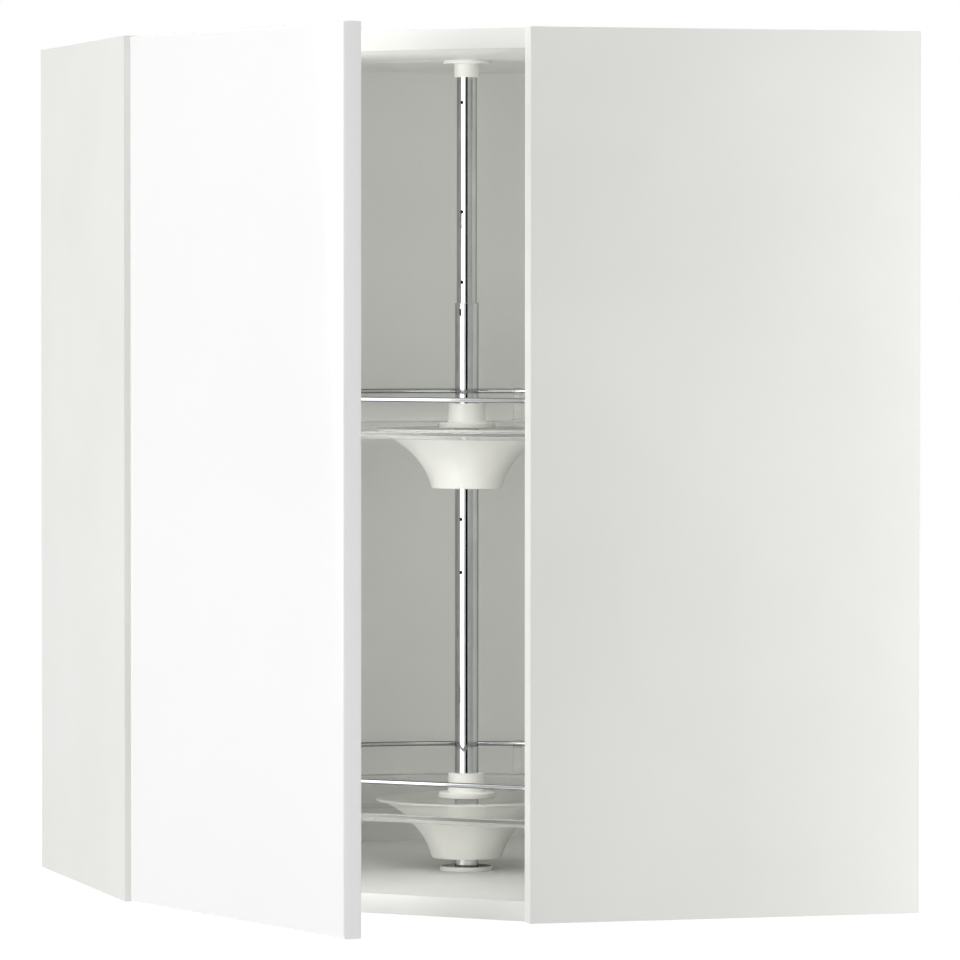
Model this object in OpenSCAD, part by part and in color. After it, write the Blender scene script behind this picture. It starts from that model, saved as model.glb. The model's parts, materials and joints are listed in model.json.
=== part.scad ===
// Corner wall cabinet with a diagonal door and a two-tray carousel.
// Millimetres. The origin is where the carousel's axis meets the cabinet's underside.
// +X and -Y point away from the two walls, so the door faces along +X -Y.

/* [Cabinet] */
// Width of the cabinet along each wall
cabinet_w = 670; // [640:1:720]
// Depth of each side panel, from the wall to its front edge
side_depth = 368; // [355:1:385]
// Height of the cabinet
cabinet_h = 800; // [780:1:1000]
// Thickness of the side, top and bottom panels
board_t = 18; // [16:0.5:19]
// Thickness of the back panels
back_t = 3; // [3:0.5:4]
// Distance of the carousel's axis from the cabinet's middle, towards each wall
axis_shift = 4; // [0:1:8]
// Setback of the top and bottom panels' front edge behind the side panels' inner corners
front_setback = 4.25; // [3:0.25:6]
// Overlap of each back panel over a side panel, in that panel's rebate
back_lap = 8; // [6:0.5:10]
// Width of the batten in the rear corner
batten_w = 60; // [45:1:80]
// Thickness of the batten in the rear corner
batten_t = 18; // [16:0.5:22]

/* [Panel joints] */
// Distance of a cam joint from the end of the panel edge that it is in
cam_end = 60; // [50:1:75]
// Distance of a cam's centre from the panel's edge
cam_inset = 24; // [20:1:30]
// Diameter of a cam
cam_d = 15; // [12:0.5:16]
// Height of a cam
cam_h = 12.5; // [11:0.5:13]
// Diameter of a cam bolt's shank
cam_bolt_d = 6; // [5:0.5:7]
// Depth of cam bolts and dowels in the side panels
joint_depth = 11; // [9:0.5:13]
// Diameter of a dowel
dowel_d = 8; // [6:0.5:10]
// Length of a dowel
dowel_len = 32; // [28:1:40]
// Distance between a dowel and the cam beside it
dowel_pitch = 32; // [25:1:40]
// Diameter of a back panel's nails
nail_d = 1.6; // [1.2:0.1:2.2]
// Length of a back panel's nails
nail_len = 18; // [14:1:22]
// Diameter of a nail's head
nail_head_d = 4; // [3:0.25:5]
// Thickness of a nail's head
nail_head_t = 0.8; // [0.6:0.1:1.2]

/* [Hanging brackets] */
// Thickness of a bracket's plate
bracket_t = 2; // [1.5:0.25:3]
// Height of a bracket
bracket_h = 50; // [40:1:60]
// Width of the bracket's leg on the side panel
bracket_side_w = 40; // [36:1:50]
// Width of the bracket's leg on the back
bracket_wall_w = 32; // [28:1:40]
// Gap between a bracket and the top panel
bracket_drop = 4; // [2:0.5:10]
// Diameter of the wall screw's hole in a bracket
wall_hole_d = 9; // [6:0.5:10]
// Diameter of the wall screw's passage in the back panel
wall_passage_d = 14; // [12:0.5:18]
// Distance of the wall screw's hole from the side panel
wall_hole_inset = 17; // [15:0.5:20]

/* [Door] */
// Gap between the door and each side panel's inner corner
door_side_gap = 2.3; // [1.5:0.1:3]
// Gap between the door's end and the cabinet's top or underside
door_end_gap = 1.5; // [1:0.1:2.5]
// Thickness of the door
door_t = 18; // [16:0.5:20]
// Gap between the shut door and the front edge of the top and bottom panels
door_seat_gap = 2.1; // [1.5:0.1:3]
// Radius of the door's front edges
door_edge_r = 3; // [1:0.25:5]
// Angle at which the door stands open
door_open = 30; // [0:1:90]
// Distance of the door's pivot ahead of its front face
pivot_ahead = 4.5; // [3.5:0.25:6]
// Distance of the door's pivot beyond its hinge edge
pivot_aside = 21; // [20:0.25:23]
// Diameter of a door bumper
bumper_d = 8; // [6:0.5:10]
// Distance of a bumper from the door's free edge
bumper_edge = 12; // [8:0.5:20]
// Gap that a bumper leaves at the shut door
bumper_gap = 0.3; // [0.1:0.1:0.6]

/* [Hinges] */
// Distance of each hinge from the nearer end of the cabinet
hinge_end = 165; // [155:1:200]
// Diameter of a hinge cup
cup_d = 35; // [34:0.5:37]
// Depth of a hinge cup in the door
cup_depth = 11.5; // [11:0.25:13]
// Wall of a hinge cup
cup_wall = 1; // [0.8:0.1:1.2]
// Distance of a cup's centre from the door's hinge edge
cup_edge = 22.5; // [22:0.1:23.5]
// Thickness of a cup's flange on the door's back
flange_t = 1.2; // [0.8:0.1:1.5]
// Height of a cup's flange, along the door
flange_h = 58; // [54:1:64]
// Distance of the flange's screws from the cup's centre, along the door
flange_screw_z = 22.5; // [21.5:0.25:24]
// Distance of the flange's screws from the cup's centre, across the door
flange_screw_y = 9.5; // [8:0.25:11]
// Depth of the cup's pin below the door's back face
cup_pin_depth = 6; // [5.5:0.1:6.5]
// Distance of the cup's pin from the door's hinge edge
cup_pin_edge = 21; // [20.5:0.1:22]
// Length of the coupler between the elbow pin and the cup's pin
coupler_len = 41; // [40.5:0.1:43]
// Width of a coupler
coupler_w = 6; // [5:0.25:6.5]
// Height of a coupler and of the arm's nose, along the door
coupler_h = 11; // [9:0.5:13]
// Diameter of the arm's and the elbow's pins
elbow_pin_d = 4; // [3:0.25:4.5]
// Diameter of the cup's pin
cup_pin_d = 3; // [2.5:0.25:3.5]
// Width of a bar's cheeks
bar_w = 8.6; // [8:0.1:9]
// Thickness of a bar's cheeks
bar_cheek_t = 2.2; // [1.5:0.1:3]
// Thickness of a mounting plate
plate_t = 3; // [2:0.25:4]
// Height of a mounting plate, along the panel
plate_h = 46; // [42:1:52]
// Width of a mounting plate, across the panel
plate_w = 34; // [30:1:40]
// Distance of the plate's screws from the side panel's front edge
plate_inset = 37; // [34:1:40]
// Distance between the plate's two screws
plate_pitch = 32; // [28:1:36]
// Length of an arm behind its pin
arm_len = 78; // [70:1:90]
// Height of an arm, along the panel
arm_h = 17; // [15:0.5:20]
// Depth of an arm off its plate
arm_t = 11; // [9:0.5:13]

/* [Bearings] */
// Diameter of the ceiling bearing's disc
ceiling_disc_d = 44.8; // [42:0.2:50]
// Thickness of the ceiling bearing's disc
ceiling_disc_t = 3.4; // [2.5:0.1:4]
// Diameter of the ceiling bearing's collar
collar_d = 24; // [23:0.1:26]
// Height of the ceiling bearing, disc and collar
collar_h = 16; // [13:0.5:18]
// Diameter of the floor bearing
floor_disc_d = 49.8; // [46:0.2:56]
// Height of the floor bearing's rim
floor_disc_h = 4; // [3.5:0.1:6]
// Thickness of the floor bearing's base
floor_base_t = 2; // [1.5:0.1:3]
// Width of the floor bearing's rim
floor_rim_w = 1.7; // [1.2:0.1:3]
// Height of the floor bearing's spigot above the panel
spigot_h = 22; // [16:1:24]
// Distance of the bearing screws from the axis
bearing_screw_r = 17; // [16.5:0.1:18]

/* [Pole] */
// Outer diameter of the lower pole
pole_d = 22.2; // [21:0.1:23]
// Wall of the lower pole
pole_wall = 1.6; // [1.2:0.1:2]
// Height of the lower pole's top end
pole_top = 553.5; // [540:0.5:600]
// Wall of the upper pole
upper_wall = 1.2; // [1:0.1:1.5]
// Length of the upper pole inside the lower one
pole_overlap = 70; // [50:1:80]
// Depth of the upper pole in the ceiling bearing's collar
pole_entry = 5.5; // [4:0.1:5.5]
// Diameter of the pin that holds the two poles together
pole_pin_d = 3.3; // [3:0.1:4]
// Travel of the pin in the lower pole's slots
pole_travel = 6; // [5.8:0.1:8]
// Distance of the slots' top end below the lower pole's top end
slot_drop = 2.4; // [2:0.1:5]
// Diameter of the poles' spare pin holes
spare_hole_d = 3.4; // [3:0.1:4]
// Diameter of the spring's wire
spring_wire_d = 1.4; // [1:0.1:1.6]
// Length of the spring
spring_len = 40; // [30:1:50]

/* [Trays] */
// Height of the lower tray's underside
tray_z = 84.5; // [80:0.5:95]
// Distance between the two trays
tray_pitch = 349; // [330:1:360]
// Gap between a tray and the nearest side or back panel
tray_wall_gap = 31; // [28:1:45]
// Gap between a tray's straight front and the shut door
tray_door_gap = 28; // [22:1:34]
// Radius of a tray's two corners
tray_corner_r = 15; // [12:0.5:30]
// Thickness of a tray's floor
tray_floor_t = 2.2; // [1.5:0.1:3]
// Thickness of a tray's lip
lip_t = 2; // [1.5:0.1:3]
// Height of a tray's lip above its floor
lip_rise = 1.8; // [1:0.1:4]
// Depth of a tray's lip below its floor
lip_drop = 3.5; // [2:0.1:6]
// Diameter of the rail's wire
rail_d = 4.5; // [3.5:0.1:6]
// Height of the rail's centre above the tray's floor
rail_rise = 30.5; // [25:0.5:45]
// Distance of the rail's centre from the tray's edge
rail_inset = 3; // [2.5:0.1:4]
// Number of posts under each rail
post_count = 8; // [6:1:10]
// Angle between neighbouring posts
post_step = 38; // [28:1:38]
// Width of a post
post_w = 8.5; // [7:0.5:10]
// Thickness of a post
post_t = 3.5; // [3:0.1:4.5]
// Diameter of the clip that holds the rail on a post
clip_d = 8; // [7.5:0.1:9]

/* [Hubs] */
// Diameter of a hub's flange
hub_flange_d = 53; // [48:0.5:60]
// Thickness of a hub's flange
hub_flange_t = 5.3; // [4:0.1:7]
// Diameter of a hub's barrel at its top
hub_top_d = 34.4; // [32:0.1:35]
// Diameter of a hub's barrel at its flange
hub_foot_d = 35.8; // [35:0.1:38]
// Height of a hub above the tray's floor
hub_h = 23.3; // [18:0.1:28]
// Diameter of a hub's skirt below the tray's floor
skirt_d = 36; // [34:0.5:40]
// Depth of a hub's skirt below the tray's underside
skirt_drop = 11; // [8:0.5:14]
// Height of a cone, from its foot to its rim
cone_h = 54.6; // [50:0.1:60]
// Diameter of a cone's rim
cone_rim_d = 170.8; // [150:0.5:190]
// Diameter of a cone's foot
cone_foot_d = 66.4; // [60:0.5:74]
// Wall of a cone
cone_wall = 2; // [1.5:0.1:3]
// Diameter of a cone's core around the pole
core_d = 30; // [28.5:0.1:31]
// Height of a tray's pin above the foot of its cone
tray_pin_rise = 16; // [15:0.5:24]
// Diameter of a tray's pin
tray_pin_d = 3.3; // [3:0.1:4]

/* [Fits] */
// Radial clearance of a turning or sliding fit
run_clear = 0.06; // [0.03:0.01:0.08]
// Radial clearance of a part that is fixed in its hole
fix_clear = 0.02; // [0.01:0.01:0.04]
// Radial clearance between the poles and in the bearings
pole_clear = 0.05; // [0.03:0.01:0.08]
// Clearance between parts that pass each other
pass_clear = 0.3; // [0.25:0.05:0.4]

/* [Hidden] */

$fn = 64;
root2 = sqrt(2);

// Distances of the cabinet's faces from the carousel's axis
wall = cabinet_w / 2 - axis_shift;
outer = cabinet_w / 2 + axis_shift;
inner = outer - board_t;
rear = wall - back_t;
side_front = wall - side_depth;

// The front is set out along two diagonals: p points out of the cabinet, t along the door
corner_p = (inner - side_front) / root2;
corner_t = (inner + side_front) / root2;
panel_p = corner_p - front_setback;
panel_c = panel_p * root2;

// Shut door
door_p = panel_p + door_seat_gap;
door_half = corner_t - door_side_gap;
door_z = door_end_gap;
door_h = cabinet_h - 2 * door_end_gap;
pivot_p = door_p + door_t + pivot_ahead;
pivot_t = -door_half - pivot_aside;
pivot = from_front([pivot_p, pivot_t]);

// Hinge linkage: a parallelogram of the door's pivot, the arm's pin, the elbow and the cup's pin
hinge_z = [hinge_end, cabinet_h - hinge_end];
arm_pin = pivot + [0, coupler_len];
reach_shut = [cup_pin_depth - door_t - pivot_ahead, pivot_aside + cup_pin_edge];
reach = clockwise(from_front(reach_shut), door_open);
cup_pin = pivot + reach;
elbow_pin = arm_pin + reach;
bar_len = norm(reach);
bar_inner = coupler_h / 2 + pass_clear;
bar_outer = bar_inner + bar_cheek_t;
pin_proud = 0.4;
plate_x = side_front_x() - plate_inset;
plate_face = -inner + plate_t;
arm_floor = plate_face;
arm_nose_gap = 1.5;

// Bearings and poles
ceiling = cabinet_h - board_t;
collar_z = ceiling - collar_h;
pole_r = pole_d / 2;
pole_bore_r = pole_r - pole_wall;
pole_foot = board_t + floor_base_t + pass_clear;
upper_r = pole_bore_r - pole_clear;
upper_bore_r = upper_r - upper_wall;
upper_top = collar_z + pole_entry;
upper_foot = pole_top - pole_overlap;
slot_top = pole_top - slot_drop;
slot_w = pole_pin_d + 2 * pass_clear;
pole_pin_z = slot_top - pole_pin_d / 2 - pass_clear / 2;
slot_foot = pole_pin_z - pole_travel - pole_pin_d / 2 - pass_clear / 2;
pole_pin_recess = 0.3;
spring_foot = upper_foot - spring_len;
ledge_h = 2;
ledge_w = 2;
spring_r = upper_bore_r;
spring_turns = 7;
spring_steps = 16;
spring_sides = 6;
// Spare pin holes: distances above the pole pin or below a pole's top end
upper_holes = [pole_pin_z + 23.8, pole_pin_z + 90, upper_top - 29.3];
lower_holes = [pole_top - 203.8, pole_top - 253.9];

// Trays, with their cones and hubs
tray_r = min(inner, rear) - tray_wall_gap;
tray_p = door_p - tray_door_gap;
tray_levels = [tray_z, tray_z + tray_pitch];
floor_top = tray_floor_t;
rail_r = tray_r - rail_inset;
rail_p = tray_p - rail_inset;
rail_corner_r = tray_corner_r - rail_inset;
rail_z = floor_top + rail_rise;
rail_bead_d = rail_d + 0.2;
post_foot_w = 12;
post_foot_t = 5;
post_foot_h = 2.5;
post_r = tray_r - lip_t - post_foot_t / 2 - pass_clear;
core_r = core_d / 2;
skirt_lap = 5;
// Control points of a cone's side, as shares of its width and height between foot and rim
cone_bend = [[0.063, 0.22], [0.19, 0.65]];
cone_steps = 16;

// Fasteners
screw_d = 4;
screw_len = 14;
screw_head_d = 7.4;
screw_head_h = 2.2;
small_screw_d = 3;
small_screw_len = 11;
small_head_d = 5;
small_head_h = 1.8;
recess_d = 0.8;

// Colours
foil = [0.95, 0.95, 0.93];
fibreboard = [0.92, 0.92, 0.9];
gloss = [0.97, 0.97, 0.96];
steel = [0.72, 0.73, 0.74];
chrome = [0.85, 0.86, 0.88];
white_plastic = [0.93, 0.92, 0.88];
clear_plastic = [0.8, 0.87, 0.86, 0.45];
beech = [0.82, 0.68, 0.48];

// From distances out of the front and along it to distances along the walls
function from_front(v) = [(v.x + v.y) / root2, (v.y - v.x) / root2];
// A plan vector turned clockwise, seen from above
function clockwise(v, a) = [v.x * cos(a) + v.y * sin(a), v.y * cos(a) - v.x * sin(a)];
// Front edge of the left side panel, along its wall
function side_front_x() = -side_front;
// Where a tray's corner arc is centred, for an outline of radius r with its straight front at p
function arc_centre(r, p, c) = [p - c, sqrt((r - c) * (r - c) - (p - c) * (p - c))];
// Point on a cubic curve through four control points
function curve(a, b, c, d, s) =
    pow(1 - s, 3) * a + 3 * pow(1 - s, 2) * s * b + 3 * (1 - s) * s * s * c + pow(s, 3) * d;

// Turns a shape set out along the front, with X out of the cabinet, into its place
module front() rotate([0, 0, -45]) children();

// Carries what is drawn on the shut door to where the door stands open
module on_door() front() translate([pivot_p, pivot_t, 0]) rotate([0, 0, -door_open])
    translate([-pivot_p, -pivot_t, 0]) children();

// The other wall's side, mirrored in the cabinet's diagonal
module mirrored() mirror([1, 1, 0]) children();

module both_sides() {
    children();
    mirrored() children();
}

// A countersunk screw along -Z, its head's top face at the origin
module screw(d, len, head_d, head_h, grow = 0) {
    translate([0, 0, -len - grow]) cylinder(h = len + grow - head_h / 2, d = d + 2 * grow);
    translate([0, 0, -head_h]) cylinder(h = head_h, d1 = d + 2 * grow, d2 = head_d + 2 * grow);
}

module cut_screw(d, len, head_d, head_h) {
    difference() {
        screw(d, len, head_d, head_h);
        translate([0, 0, -recess_d]) linear_extrude(2 * recess_d) cross_slot(head_d * 0.55);
    }
}

module cross_slot(size) {
    square([size, size / 5], center = true);
    square([size / 5, size], center = true);
}

// ---------- Cabinet ----------

module panel_outline()
    polygon([[-rear, rear], [inner, rear], [inner, inner - panel_c],
        [panel_c - inner, -inner], [-rear, -inner]]);

// Height of the middle of the top or bottom panel
function joint_z(top) = top ? cabinet_h - board_t / 2 : board_t / 2;

// Places of the cam joints along the right side panel
function cam_places() = [rear - cam_end, inner - panel_c + cam_end];

// A dowel lies beside each cam, towards the middle of the panel's edge
function dowel_shift(i) = i == 0 ? -dowel_pitch : dowel_pitch;

// Puts its children at each cam joint of one panel, with +X into the side panel
module at_cams(top)
    both_sides() for (y = cam_places()) translate([inner, y, joint_z(top)]) children();

module at_dowels(top)
    both_sides() for (i = [0, 1])
        translate([inner, cam_places()[i] + dowel_shift(i), joint_z(top)]) children();

module cam_bolt(grow = 0)
    translate([-cam_inset, 0, 0]) rotate([0, 90, 0])
        cylinder(h = cam_inset + joint_depth + grow, d = cam_bolt_d + 2 * grow);

module dowel(grow = 0)
    translate([joint_depth - dowel_len - grow, 0, 0]) rotate([0, 90, 0])
        cylinder(h = dowel_len + 2 * grow, d = dowel_d + 2 * grow);

// A cam pocket opens to the panel's outer face, which nothing in the cabinet shows
module cam_body(top, grow = 0) {
    face = top ? board_t / 2 : -board_t / 2;
    foot = top ? face - cam_h - grow : face;
    translate([-cam_inset, 0, foot]) cylinder(h = cam_h + grow, d = cam_d + 2 * grow);
}

module panel_joint_cuts(top) {
    at_cams(top) {
        cam_body(top, pass_clear / 2);
        cam_bolt(pass_clear / 2);
    }
    at_dowels(top) dowel(fix_clear);
}

module side_joint_cuts() {
    for (top = [false, true]) {
        at_cams(top) cam_bolt(fix_clear);
        at_dowels(top) dowel(fix_clear);
    }
}

// Heights of the nails along a side panel or the batten
function nail_heights() = [for (i = [1:4]) i * cabinet_h / 5];
// Places of the nails along a panel's rear edge
function nail_places() = [for (i = [-1:1]) i * (inner - batten_w) * 0.7];
nail_stagger = 20;

// Nails of the right back panel, along -Y, then the left panel's, mirrored and set higher
module at_nails(lift) {
    for (z = nail_heights()) {
        translate([inner + back_lap / 2, wall, z + lift]) children();
        translate([batten_t / 2 - rear, wall, z + lift]) children();
    }
    for (x = nail_places(), top = [false, true]) translate([x, wall, joint_z(top)]) children();
}

module nail(grow = 0) {
    rotate([90, 0, 0]) cylinder(h = nail_len + grow, d = nail_d + 2 * grow);
    rotate([90, 0, 0]) cylinder(h = nail_head_t + grow, d = nail_head_d + 2 * grow);
}

module all_nails(grow = 0) {
    at_nails(0) nail(grow);
    mirrored() at_nails(nail_stagger) nail(grow);
}

// Screws of the hanging brackets, into the right side panel
module at_bracket_screws()
    for (z = [bracket_h / 4, bracket_h * 3 / 4])
        translate([inner - bracket_t, rear - bracket_side_w * 0.7, bracket_z() + z])
            rotate([0, -90, 0]) children();

function bracket_z() = ceiling - bracket_drop - bracket_h;

// The wall screw's hole through the right back panel's bracket, along Y
module at_wall_hole()
    translate([inner - wall_hole_inset, rear, bracket_z() + bracket_h / 2])
        rotate([90, 0, 0]) children();

module side_panel() {
    difference() {
        translate([inner, side_front, 0]) cube([board_t, side_depth, cabinet_h]);
        translate([inner - 1, rear, -1]) cube([back_lap + 1, back_t + 1, cabinet_h + 2]);
        side_joint_cuts();
        all_nails(fix_clear);
        at_bracket_screws() screw(screw_d, screw_len, screw_head_d, screw_head_h, fix_clear);
    }
}

module side_panel_right() color(foil) side_panel();

module side_panel_left() color(foil) difference() {
    mirrored() difference() {
        translate([inner, side_front, 0]) cube([board_t, side_depth, cabinet_h]);
        translate([inner - 1, rear, -1]) cube([back_lap + 1, back_t + 1, cabinet_h + 2]);
        at_bracket_screws() screw(screw_d, screw_len, screw_head_d, screw_head_h, fix_clear);
    }
    side_joint_cuts();
    all_nails(fix_clear);
    at_plate_screws() screw(screw_d, screw_len, screw_head_d, screw_head_h, fix_clear);
}

module board(top) difference() {
    translate([0, 0, joint_z(top) - board_t / 2]) linear_extrude(board_t) panel_outline();
    panel_joint_cuts(top);
    all_nails(fix_clear);
    at_bearing_screws(top) screw(screw_d, screw_len, screw_head_d, screw_head_h, fix_clear);
}

module top_panel() color(foil) board(true);

module bottom_panel() color(foil) board(false);

module back_panel(from, lift) difference() {
    translate([from, rear, 0]) cube([inner + back_lap - fix_clear - from, back_t, cabinet_h]);
    at_nails(lift) nail(fix_clear);
    at_wall_hole() translate([0, 0, -back_t - 1]) cylinder(h = back_t + 2, d = wall_passage_d);
}

module back_panel_right() color(fibreboard) back_panel(-wall, 0);

module back_panel_left() color(fibreboard) mirrored() back_panel(-rear, nail_stagger);

module corner_batten() color(foil) difference() {
    translate([-rear, rear - batten_w, board_t]) cube([batten_t, batten_w, ceiling - board_t]);
    all_nails(fix_clear);
}

module cam_locks() color(steel) for (top = [false, true]) at_cams(top) difference() {
    cam_body(top);
    cam_bolt(pass_clear / 2);
    face = top ? board_t / 2 : -board_t / 2;
    translate([-cam_inset, 0, face - recess_d]) linear_extrude(2 * recess_d)
        cross_slot(cam_d * 0.6);
}

module cam_bolts() color(steel) for (top = [false, true]) at_cams(top) cam_bolt();

module dowels() color(beech) for (top = [false, true]) at_dowels(top) dowel();

module back_nails() color(steel) all_nails();

module hanging_bracket() difference() {
    union() {
        translate([inner - bracket_t, rear - bracket_side_w, bracket_z()])
            cube([bracket_t, bracket_side_w, bracket_h]);
        translate([inner - bracket_wall_w, rear - bracket_t, bracket_z()])
            cube([bracket_wall_w, bracket_t, bracket_h]);
    }
    at_wall_hole() translate([0, 0, -1]) cylinder(h = bracket_t + 2, d = wall_hole_d);
    at_bracket_screws() screw(screw_d, screw_len, screw_head_d, screw_head_h, fix_clear);
}

module hanging_bracket_right() color(steel) hanging_bracket();

module hanging_bracket_left() color(steel) mirrored() hanging_bracket();

module bracket_screws() color(steel) both_sides() at_bracket_screws()
    cut_screw(screw_d, screw_len, screw_head_d, screw_head_h);

// ---------- Bearings ----------

// Bearing screws of the floor or, upside down, of the ceiling
module at_bearing_screws(top) {
    face = top ? ceiling - ceiling_disc_t : board_t + floor_base_t;
    for (a = [30, 150, 270])
        rotate([0, 0, a]) translate([bearing_screw_r, 0, face])
            rotate([top ? 180 : 0, 0, 0]) children();
}

module ceiling_bearing() color(white_plastic) difference() {
    union() {
        translate([0, 0, ceiling - ceiling_disc_t]) cylinder(h = ceiling_disc_t, d = ceiling_disc_d);
        translate([0, 0, collar_z]) cylinder(h = collar_h, d = collar_d);
    }
    translate([0, 0, collar_z - 1])
        cylinder(h = collar_h - ceiling_disc_t + 1, r = upper_r + pole_clear);
    at_bearing_screws(true) screw(screw_d, screw_len, screw_head_d, screw_head_h, fix_clear);
}

module floor_bearing() color(white_plastic) difference() {
    union() {
        translate([0, 0, board_t]) difference() {
            cylinder(h = floor_disc_h, d = floor_disc_d);
            translate([0, 0, floor_base_t])
                cylinder(h = floor_disc_h, d = floor_disc_d - 2 * floor_rim_w);
        }
        translate([0, 0, board_t]) cylinder(h = spigot_h, r = pole_bore_r - pole_clear);
    }
    at_bearing_screws(false) screw(screw_d, screw_len, screw_head_d, screw_head_h, fix_clear);
    translate([0, 0, board_t + floor_base_t]) cylinder(h = spigot_h, r = pole_bore_r * 0.7);
}

module bearing_screws() color(steel) for (top = [false, true]) at_bearing_screws(top)
    cut_screw(screw_d, screw_len, screw_head_d, screw_head_h);

// ---------- Door ----------

// The shut door's slab, in front coordinates, with its front edges rounded
module door_slab() {
    r = door_edge_r;
    flat_t = door_t - r;
    translate([door_p, -door_half, door_z]) cube([flat_t, 2 * door_half, door_h]);
    translate([door_p + flat_t, -door_half + r, door_z + r])
        cube([r, 2 * (door_half - r), door_h - 2 * r]);
    for (s = [-1, 1]) translate([door_p + flat_t, s * (door_half - r), door_z + r])
        cylinder(h = door_h - 2 * r, r = r);
    for (z = [door_z + r, door_z + door_h - r]) {
        translate([door_p + flat_t, r - door_half, z]) rotate([-90, 0, 0])
            cylinder(h = 2 * (door_half - r), r = r);
        for (s = [-1, 1]) translate([door_p + flat_t, s * (door_half - r), z]) sphere(r = r);
    }
}

// Puts its children at a hinge cup's centre on the door's back, with +Z into the door
module at_cup(z) translate([door_p, cup_edge - door_half, z]) rotate([0, 90, 0]) children();

// A cup flange's screws, their heads flush with the flange
module at_cup_screws(z) for (s = [-1, 1])
    translate([door_p - flange_t, cup_edge - door_half + flange_screw_y, z + s * flange_screw_z])
        rotate([0, -90, 0]) children();

module door_panel() color(gloss) on_door() difference() {
    door_slab();
    for (z = hinge_z) {
        at_cup(z) translate([0, 0, -1]) cylinder(h = cup_depth + 1 + fix_clear, d = cup_d + 2 * fix_clear);
        at_cup_screws(z)
            screw(small_screw_d, small_screw_len, small_head_d, small_head_h, fix_clear);
    }
}

module door_bumpers() color(clear_plastic) on_door()
    for (z = [joint_z(false), joint_z(true)])
        translate([door_p, door_half - bumper_edge, z]) rotate([0, -90, 0])
            cylinder(h = door_seat_gap - bumper_gap, d = bumper_d);

// ---------- Hinges ----------

module cup_ears(z) for (s = [-1, 1])
    translate([door_p + cup_pin_depth - cup_pin_d, cup_pin_edge - door_half - cup_pin_d,
            z + s * (bar_inner + bar_cheek_t / 2) - bar_cheek_t / 2])
        cube([cup_depth - cup_wall - cup_pin_depth + cup_pin_d, 2 * cup_pin_d, bar_cheek_t]);

module hinge_cup(z) color(steel) on_door() difference() {
    union() {
        difference() {
            union() {
                at_cup(z) cylinder(h = cup_depth, d = cup_d);
                at_cup(z) translate([0, 0, -flange_t]) cylinder(h = flange_t, d = cup_d + 2);
                translate([door_p - flange_t, cup_edge - door_half, z - flange_h / 2])
                    cube([flange_t, flange_screw_y + small_head_d, flange_h]);
            }
            at_cup(z) translate([0, 0, -flange_t - 1])
                cylinder(h = cup_depth - cup_wall + flange_t + 1, d = cup_d - 2 * cup_wall);
        }
        cup_ears(z);
    }
    at_cup_pin(z) cylinder(h = 4 * coupler_h, d = cup_pin_d + 2 * fix_clear, center = true);
    at_cup_screws(z) screw(small_screw_d, small_screw_len, small_head_d, small_head_h, fix_clear);
}

module at_cup_pin(z) translate([door_p + cup_pin_depth, cup_pin_edge - door_half, z]) children();

module hinge_cup_screws() color(steel) on_door() for (z = hinge_z) at_cup_screws(z)
    cut_screw(small_screw_d, small_screw_len, small_head_d, small_head_h);

module cup_pins() color(steel) for (z = hinge_z) translate([cup_pin.x, cup_pin.y, z])
    cylinder(h = 2 * bar_outer, d = cup_pin_d, center = true);

module elbow_pins() color(steel) for (z = hinge_z) translate([elbow_pin.x, elbow_pin.y, z])
    cylinder(h = 2 * (bar_outer + pin_proud), d = elbow_pin_d, center = true);

module arm_pins() color(steel) for (z = hinge_z) translate([arm_pin.x, arm_pin.y, z])
    cylinder(h = 2 * (bar_outer + pin_proud), d = elbow_pin_d, center = true);

// A flat link along +X from the origin, with round ends
module link_outline(len, w) {
    circle(d = w);
    translate([0, -w / 2]) square([len, w]);
    translate([len, 0]) circle(d = w);
}

// The bar turns with the door about the arm's pin: two cheeks joined by a web
module hinge_bar(z) color(steel) translate([arm_pin.x, arm_pin.y, z])
    rotate([0, 0, atan2(reach.y, reach.x)]) difference() {
        union() {
            for (s = [-1, 1]) translate([0, 0, s * (bar_inner + bar_outer) / 2 - bar_cheek_t / 2])
                linear_extrude(bar_cheek_t) link_outline(bar_len, bar_w);
            translate([bar_len * 0.27, bar_w / 2 - bar_cheek_t, -bar_outer])
                cube([bar_len * 0.46, bar_cheek_t, 2 * bar_outer]);
        }
        cylinder(h = 4 * bar_outer, d = elbow_pin_d + 2 * run_clear, center = true);
        translate([bar_len, 0, 0])
            cylinder(h = 4 * bar_outer, d = elbow_pin_d + 2 * fix_clear, center = true);
    }

// The coupler keeps its direction while its cup end follows the door
module hinge_coupler(z) color(steel) translate([cup_pin.x, cup_pin.y, z])
    rotate([0, 0, 90]) difference() {
        translate([0, 0, -coupler_h / 2]) linear_extrude(coupler_h) union() {
            link_outline(coupler_len, coupler_w);
            translate([coupler_len, 0]) circle(d = elbow_pin_d + 2 * pass_clear + 3);
        }
        cylinder(h = 2 * coupler_h, d = cup_pin_d + 2 * run_clear, center = true);
        translate([coupler_len, 0, 0])
            cylinder(h = 2 * coupler_h, d = elbow_pin_d + 2 * pass_clear, center = true);
    }

module at_plate_screws() for (z = hinge_z, s = [-1, 1])
    translate([plate_x, plate_face, z + s * plate_pitch / 2]) rotate([-90, 0, 0]) children();

module hinge_plate(z) color(steel) difference() {
    translate([plate_x - plate_w / 2, -inner, z - plate_h / 2]) cube([plate_w, plate_t, plate_h]);
    at_plate_screws() screw(screw_d, screw_len, screw_head_d, screw_head_h, fix_clear);
}

module hinge_plate_screws() color(steel) at_plate_screws()
    cut_screw(screw_d, screw_len, screw_head_d, screw_head_h);

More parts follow.
